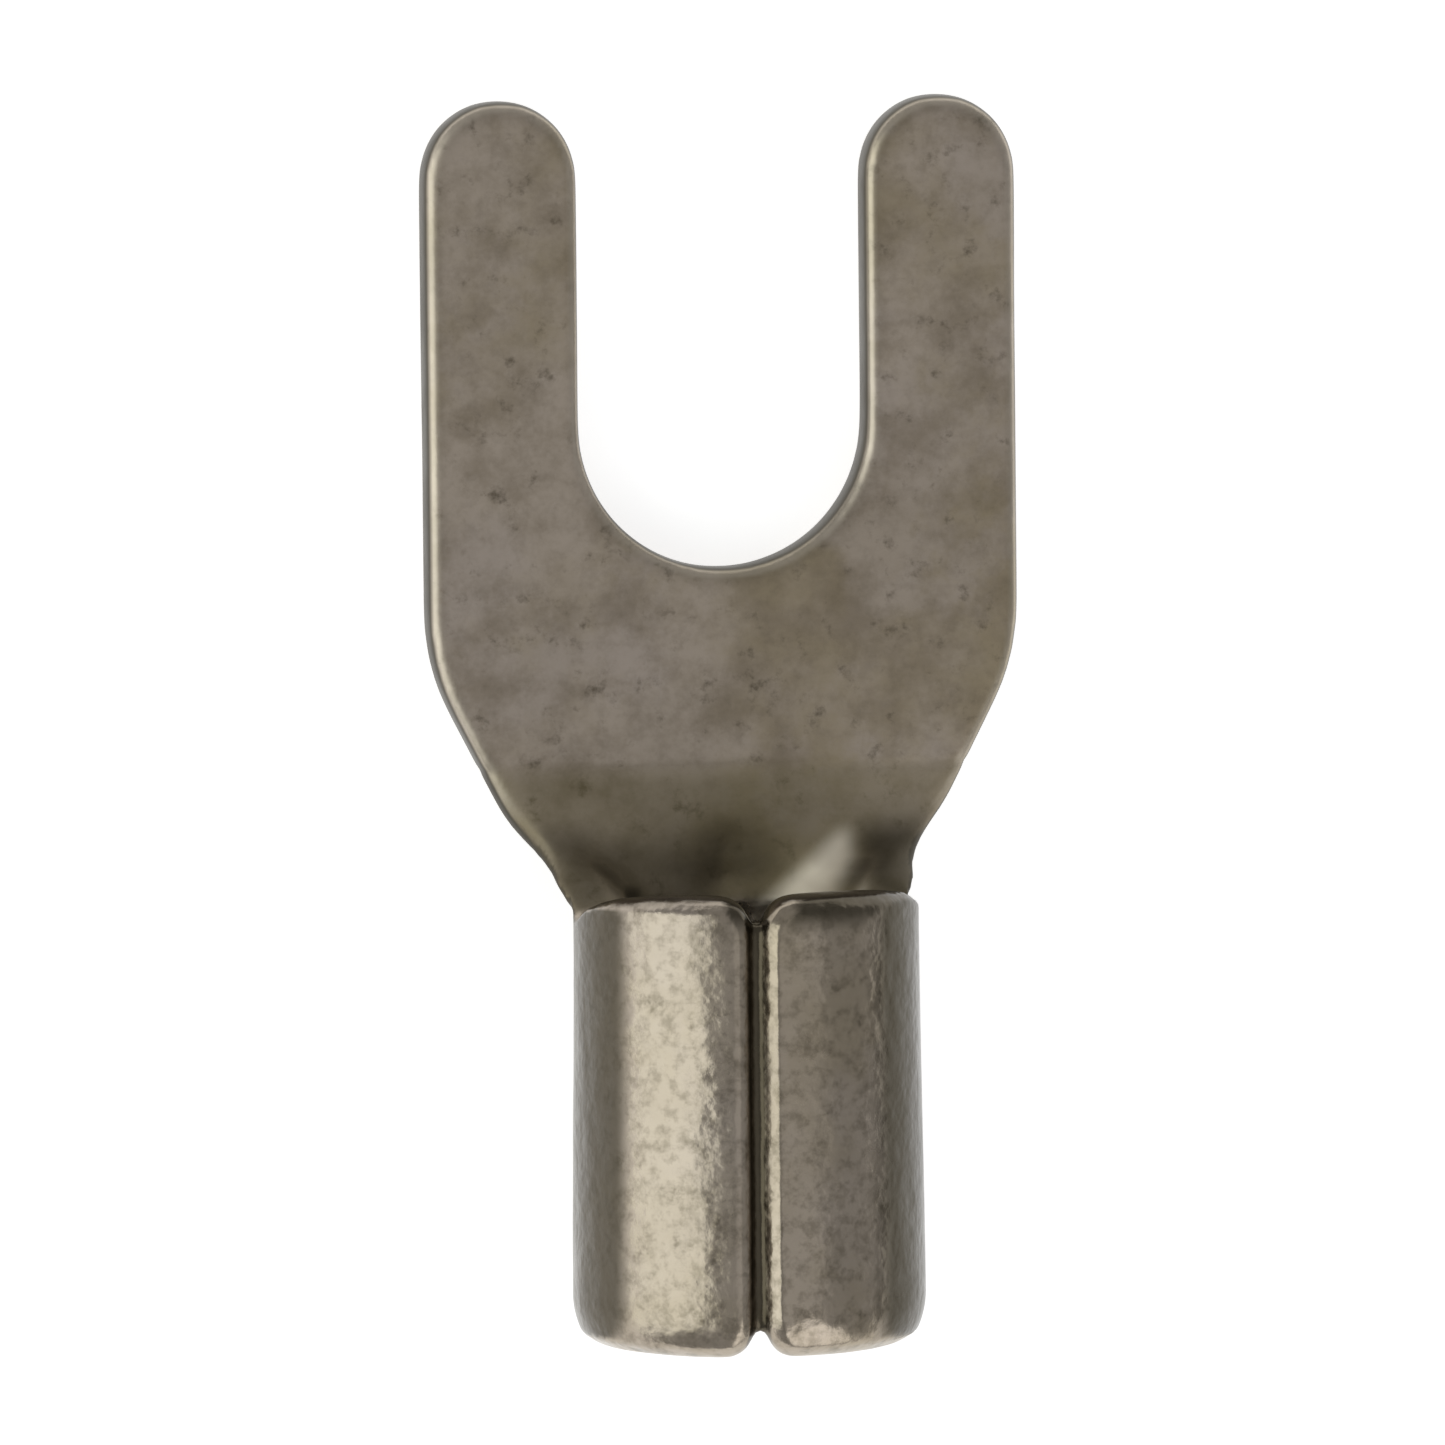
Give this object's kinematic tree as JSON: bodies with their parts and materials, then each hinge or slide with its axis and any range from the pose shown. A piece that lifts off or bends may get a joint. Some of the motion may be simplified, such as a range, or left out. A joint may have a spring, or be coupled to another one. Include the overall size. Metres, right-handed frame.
{
  "type": "fork terminal",
  "caption": "Bare fork terminal: a flat tongue with an open U slot for a screw or stud, curling through a short neck into a rolled butt-seam crimp barrel.",
  "frame": {"origin": "axis of the stud in the slot, at the underside of the flat tongue", "axes": "+Y towards the slot's open end, the barrel lying along -Y; +Z out of the tongue's upper face, on the seam's side; +X to the right"},
  "size_m": [0.009, 0.0185, 0.0053],
  "materials": {
    "tinned_copper": "satin"
  },
  "bodies": {
    "root": {"fork_terminal": "tinned_copper"}
  },
  "joints": []
}
